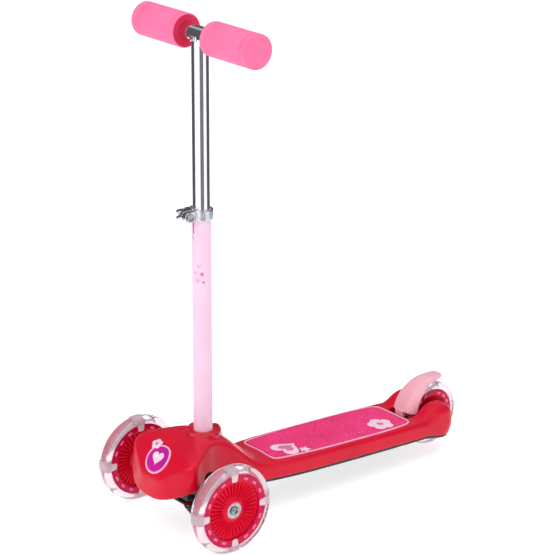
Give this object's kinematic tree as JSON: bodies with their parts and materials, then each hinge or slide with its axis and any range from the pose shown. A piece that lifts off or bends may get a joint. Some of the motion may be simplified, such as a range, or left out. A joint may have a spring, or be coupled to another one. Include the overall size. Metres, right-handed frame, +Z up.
{
  "type": "kick scooter",
  "caption": "Small child's lean-to-steer kick scooter: low deck, telescopic T-handlebar, clear wheels with fluted red cores, domed front cover and a foot brake over the rear wheel.",
  "frame": {"origin": "on the floor under the centre of the scooter's bounding box", "axes": "+Z up, -Y the way it rides, +X the rider's left"},
  "size_m": [0.2346, 0.543, 0.6813],
  "materials": {
    "red_cover": "satin red moulded cover",
    "black_tray": "black ribbed nylon",
    "mat_pink": "hot pink printed grip mat",
    "badge_magenta": "domed magenta badge",
    "collar_red": "red collar",
    "tube_pink": "pale pink powder coat",
    "chrome": "polished",
    "aluminium": "bright cast",
    "steel": "zinc plated",
    "grip_pink": "soft pink foam",
    "bush_white": "nylon",
    "black_plug": "moulded",
    "urethane": "cast urethane",
    "fender_pink": "pale pink, slightly translucent",
    "core_red": "fluted red wheel core",
    "tyre_clear": "clear cast urethane",
    "lamp_clear": "clear lamp housing",
    "window_pink": "pink light window",
    "bearing_steel": "ground"
  },
  "bodies": {
    "frame": {"chassis": "black_tray", "body_shell": "red_cover", "deck_mat": "mat_pink", "badge": "badge_magenta", "column_collar": "collar_red", "lower_tube": "tube_pink", "tube_bush": "bush_white", "clamp_ring": "aluminium", "clamp_bolt": "steel", "clamp_nut": "aluminium", "cam_barrel": "steel", "column_bolt": "steel", "column_nut": "steel", "kingpins": "steel", "centring_bushes": "urethane", "rear_axle": "steel", "rear_axle_nut": "steel", "rear_spacers": "steel", "deck_screws": "steel", "fender_pin": "steel", "fender_spring": "steel"},
    "handlebar": {"upper_tube": "chrome", "crossbar": "chrome", "grip_left": "grip_pink", "grip_right": "grip_pink", "bar_plugs": "black_plug"},
    "cam_lever": {"clamp_lever": "aluminium"},
    "steering_left": {"knuckle_left": "black_tray", "axle_bolt_left": "steel"},
    "steering_right": {"knuckle_right": "black_tray", "axle_bolt_right": "steel"},
    "link": {"tie_rod": "black_tray", "tie_rod_pins": "steel"},
    "wheel_left": {"core_front_left": "core_red", "tyre_front_left": "tyre_clear", "lamps_front_left": "lamp_clear", "windows_front_left": "window_pink", "bearings_front_left": "bearing_steel", "spacer_front_left": "steel"},
    "wheel_right": {"core_front_right": "core_red", "tyre_front_right": "tyre_clear", "lamps_front_right": "lamp_clear", "windows_front_right": "window_pink", "bearings_front_right": "bearing_steel", "spacer_front_right": "steel"},
    "wheel_rear": {"core_rear": "core_red", "tyre_rear": "tyre_clear", "windows_rear": "window_pink", "bearings_rear": "bearing_steel", "spacer_rear": "steel"},
    "brake": {"fender": "fender_pink"}
  },
  "joints": [
    {"name": "lean_steer_left", "type": "hinge", "parent": "frame", "child": "steering_left", "pos_m": [0.046, -0.2115, 0.058], "axis": [0, -0.5736, 0.8192], "range_deg": [-15, 15], "stiffness_Nm_per_rad": 25},
    {"name": "lean_steer_right", "type": "hinge", "parent": "frame", "child": "steering_right", "pos_m": [-0.046, -0.2115, 0.058], "axis": [0, -0.5736, 0.8192], "range_deg": [-15, 15]},
    {"name": "tie_rod_eye", "type": "hinge", "parent": "steering_left", "child": "link", "pos_m": [0.046, -0.23116, 0.04423], "axis": [0, -0.5736, 0.8192], "range_deg": [-15, 15]},
    {"name": "spin_front_left", "type": "hinge", "parent": "steering_left", "child": "wheel_left", "pos_m": [0.104, -0.2115, 0.06], "axis": [1, 0, 0], "continuous": true},
    {"name": "spin_front_right", "type": "hinge", "parent": "steering_right", "child": "wheel_right", "pos_m": [-0.104, -0.2115, 0.06], "axis": [1, 0, 0], "continuous": true},
    {"name": "spin_rear", "type": "hinge", "parent": "frame", "child": "wheel_rear", "pos_m": [0, 0.2245, 0.047], "axis": [1, 0, 0], "continuous": true},
    {"name": "handlebar_height", "type": "slide", "parent": "frame", "child": "handlebar", "axis": [0, 0, 1], "range_m": [-0.13, 0]},
    {"name": "clamp_lever_swing", "type": "hinge", "parent": "frame", "child": "cam_lever", "pos_m": [-0.0127, -0.2008, 0], "axis": [0, 0, 1], "range_deg": [0, 120]},
    {"name": "brake_press", "type": "hinge", "parent": "frame", "child": "brake", "pos_m": [0, 0.1725, 0.05], "axis": [1, 0, 0], "range_deg": [-4, 0], "stiffness_Nm_per_rad": 1.5, "springref_deg": 8.59}
  ],
  "couplings": [
    {"joint": "lean_steer_right", "follows": "lean_steer_left", "ratio": 1},
    {"joint": "tie_rod_eye", "follows": "lean_steer_left", "ratio": -1}
  ]
}
